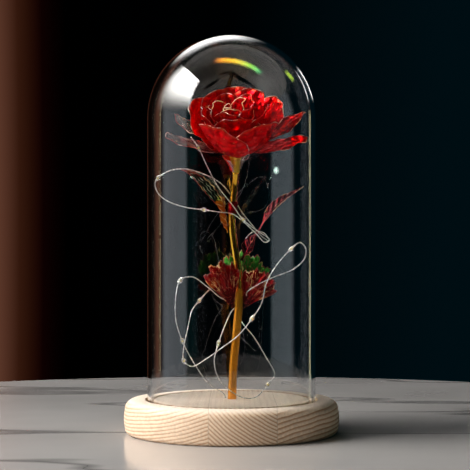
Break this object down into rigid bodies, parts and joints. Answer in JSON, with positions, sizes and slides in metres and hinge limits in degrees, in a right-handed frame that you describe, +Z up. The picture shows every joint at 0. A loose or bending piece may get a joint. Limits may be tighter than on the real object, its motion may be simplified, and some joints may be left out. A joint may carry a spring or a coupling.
{
  "type": "rose under a glass dome",
  "caption": "Glossy film rose on a gold stem with ribbed leaves and a fine wire of small lights, under a glass dome that stands in the groove of a round pine base.",
  "frame": {"origin": "middle of the underside of the wooden base", "axes": "+Z up, -Y to the front, where the rose faces, +X to the right as seen from the front"},
  "size_m": [0.115, 0.115, 0.213],
  "materials": {
    "pine": "sanded end grain, satin",
    "dark_plastic": "matt moulded",
    "clear_glass": "clear, polished",
    "gold_foil": "creased mirror-like foil",
    "red_film": "glossy translucent film",
    "leaf_film": "glossy pleated film, dark red with gold and green",
    "silver_wire": "bright lacquered wire with clear drops"
  },
  "bodies": {
    "root": {"wood_base": "pine", "battery_cover": "dark_plastic", "glass_dome": "clear_glass", "stem": "gold_foil", "stem_collar": "red_film", "calyx": "gold_foil", "sepal_cup": "red_film", "bud": "red_film", "petal_inner_1": "red_film", "petal_inner_2": "red_film", "petal_inner_3": "red_film", "petal_middle_1": "red_film", "petal_middle_2": "red_film", "petal_middle_3": "red_film", "petal_middle_4": "red_film", "petal_middle_5": "red_film", "petal_main_1": "red_film", "petal_main_2": "red_film", "petal_main_3": "red_film", "petal_main_4": "red_film", "petal_main_5": "red_film", "petal_guard_1": "red_film", "petal_guard_2": "red_film", "petal_guard_3": "red_film", "petal_guard_4": "red_film", "petal_guard_5": "red_film", "petal_outer_right_upper": "red_film", "petal_outer_right_lower": "red_film", "petal_outer_left_upper": "red_film", "petal_outer_left_lower": "red_film", "petal_outer_back": "red_film", "leaf_upper_left": "leaf_film", "leaf_upper_right": "leaf_film", "leaf_lower_left": "leaf_film", "leaf_lower_right": "leaf_film", "leaf_lower_back": "leaf_film", "light_string": "silver_wire"}
  },
  "joints": []
}
